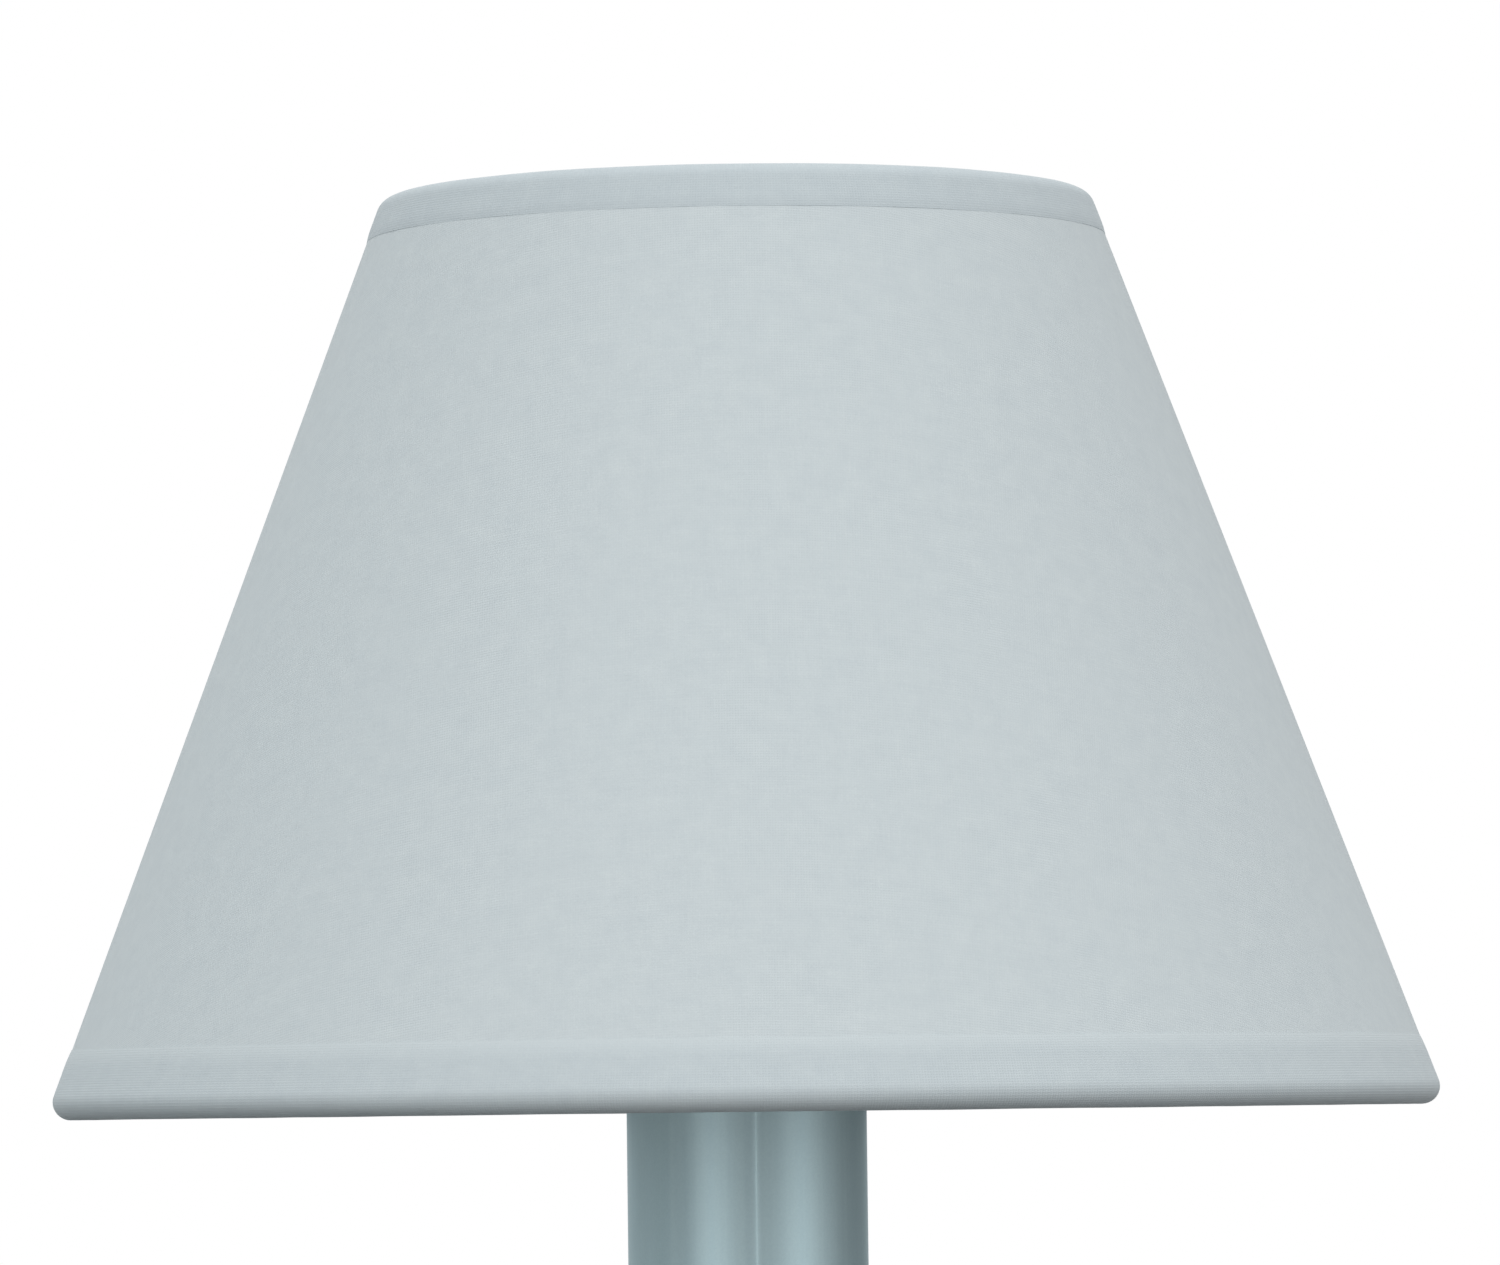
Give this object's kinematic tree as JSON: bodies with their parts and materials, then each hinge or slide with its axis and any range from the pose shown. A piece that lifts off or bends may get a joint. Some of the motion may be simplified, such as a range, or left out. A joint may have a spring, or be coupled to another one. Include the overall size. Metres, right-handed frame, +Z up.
{
  "type": "chandelier",
  "caption": "Arm chandelier on a rigid ceiling stem, with candle lights in blue-grey painted metal and clip-on cone shades of pale fabric bound at both edges.",
  "frame": {"origin": "on the ceiling, at the middle of the ceiling plate's upper face, on the stem's axis", "axes": "+Z up along the stem; +X out from the stem to the pictured light, light 1; the picture looks along +Y"},
  "size_m": [0.44, 0.4864, 0.4696],
  "materials": {
    "blue_grey_paint": "satin",
    "shade_fabric": "matte weave",
    "edge_tape": "matte weave",
    "plated_steel": "plated",
    "spring_wire": "bright",
    "brass": "bright",
    "white_plastic": "matte",
    "bulb_glass": "clear"
  },
  "bodies": {
    "frame": {"ceiling_plate": "plated_steel", "stem_lock_nut": "brass", "terminal_block": "white_plastic", "stem": "blue_grey_paint", "stem_ball": "blue_grey_paint", "column": "blue_grey_paint", "hub": "blue_grey_paint", "hub_cap": "blue_grey_paint", "tie_rod": "plated_steel", "arm_1": "blue_grey_paint", "arm_cup_1": "blue_grey_paint", "drip_pan_1": "blue_grey_paint", "pan_nut_1": "brass", "nipple_1": "plated_steel", "lampholder_1": "white_plastic", "arm_2": "blue_grey_paint", "arm_cup_2": "blue_grey_paint", "drip_pan_2": "blue_grey_paint", "pan_nut_2": "brass", "nipple_2": "plated_steel", "lampholder_2": "white_plastic", "arm_3": "blue_grey_paint", "arm_cup_3": "blue_grey_paint", "drip_pan_3": "blue_grey_paint", "pan_nut_3": "brass", "nipple_3": "plated_steel", "lampholder_3": "white_plastic"},
    "canopy": {"canopy": "blue_grey_paint", "canopy_collar": "blue_grey_paint"},
    "collar_screw": {"collar_screw": "brass"},
    "finial": {"finial": "blue_grey_paint"},
    "light_1_sleeve": {"candle_sleeve_1": "blue_grey_paint"},
    "light_1_bulb": {"bulb_cap_1": "brass", "bulb_glass_1": "bulb_glass"},
    "light_1_clip": {"bulb_clip_1": "spring_wire"},
    "light_1_shade": {"shade_cover_1": "shade_fabric", "shade_top_trim_1": "edge_tape", "shade_bottom_trim_1": "edge_tape", "shade_top_frame_1": "spring_wire", "shade_bottom_ring_1": "spring_wire"},
    "light_2_sleeve": {"candle_sleeve_2": "blue_grey_paint"},
    "light_2_bulb": {"bulb_cap_2": "brass", "bulb_glass_2": "bulb_glass"},
    "light_2_clip": {"bulb_clip_2": "spring_wire"},
    "light_2_shade": {"shade_cover_2": "shade_fabric", "shade_top_trim_2": "edge_tape", "shade_bottom_trim_2": "edge_tape", "shade_top_frame_2": "spring_wire", "shade_bottom_ring_2": "spring_wire"},
    "light_3_sleeve": {"candle_sleeve_3": "blue_grey_paint"},
    "light_3_bulb": {"bulb_cap_3": "brass", "bulb_glass_3": "bulb_glass"},
    "light_3_clip": {"bulb_clip_3": "spring_wire"},
    "light_3_shade": {"shade_cover_3": "shade_fabric", "shade_top_trim_3": "edge_tape", "shade_bottom_trim_3": "edge_tape", "shade_top_frame_3": "spring_wire", "shade_bottom_ring_3": "spring_wire"}
  },
  "joints": [
    {"name": "stem_canopy_slide", "type": "slide", "parent": "frame", "child": "canopy", "axis": [0, 0, 1], "range_m": [-0.08, 0]},
    {"name": "stem_collar_screw_turn", "type": "hinge", "parent": "canopy", "child": "collar_screw", "pos_m": [0, -0.011, -0.0496], "axis": [0, 1, 0], "continuous": true},
    {"name": "stem_finial_turn", "type": "hinge", "parent": "frame", "child": "finial", "pos_m": [0, 0, -0.44], "axis": [0, 0, 1], "continuous": true},
    {"name": "light_1_bulb_turn", "type": "hinge", "parent": "frame", "child": "light_1_bulb", "pos_m": [0.2, 0, -0.275], "axis": [0, 0, 1], "continuous": true},
    {"name": "light_1_clip_turn", "type": "hinge", "parent": "light_1_bulb", "child": "light_1_clip", "pos_m": [0.2, 0, -0.225], "axis": [0, 0, 1], "continuous": true},
    {"name": "light_1_shade_tilt", "type": "hinge", "parent": "light_1_clip", "child": "light_1_shade", "pos_m": [0.2, 0, -0.1849], "axis": [0, 1, 0], "range_deg": [-10, 10]},
    {"name": "light_1_sleeve_lift", "type": "slide", "parent": "frame", "child": "light_1_sleeve", "axis": [0, 0, 1], "range_m": [0, 0.015]},
    {"name": "light_2_bulb_turn", "type": "hinge", "parent": "frame", "child": "light_2_bulb", "pos_m": [-0.1, 0.17321, -0.275], "axis": [0, 0, 1], "continuous": true},
    {"name": "light_2_clip_turn", "type": "hinge", "parent": "light_2_bulb", "child": "light_2_clip", "pos_m": [-0.1, 0.17321, -0.225], "axis": [0, 0, 1], "continuous": true},
    {"name": "light_2_shade_tilt", "type": "hinge", "parent": "light_2_clip", "child": "light_2_shade", "pos_m": [-0.1, 0.17321, -0.1849], "axis": [0, 1, 0], "range_deg": [-10, 10]},
    {"name": "light_2_sleeve_lift", "type": "slide", "parent": "frame", "child": "light_2_sleeve", "axis": [0, 0, 1], "range_m": [0, 0.015]},
    {"name": "light_3_bulb_turn", "type": "hinge", "parent": "frame", "child": "light_3_bulb", "pos_m": [-0.1, -0.17321, -0.275], "axis": [0, 0, 1], "continuous": true},
    {"name": "light_3_clip_turn", "type": "hinge", "parent": "light_3_bulb", "child": "light_3_clip", "pos_m": [-0.1, -0.17321, -0.225], "axis": [0, 0, 1], "continuous": true},
    {"name": "light_3_shade_tilt", "type": "hinge", "parent": "light_3_clip", "child": "light_3_shade", "pos_m": [-0.1, -0.17321, -0.1849], "axis": [0, 1, 0], "range_deg": [-10, 10]},
    {"name": "light_3_sleeve_lift", "type": "slide", "parent": "frame", "child": "light_3_sleeve", "axis": [0, 0, 1], "range_m": [0, 0.015]}
  ]
}
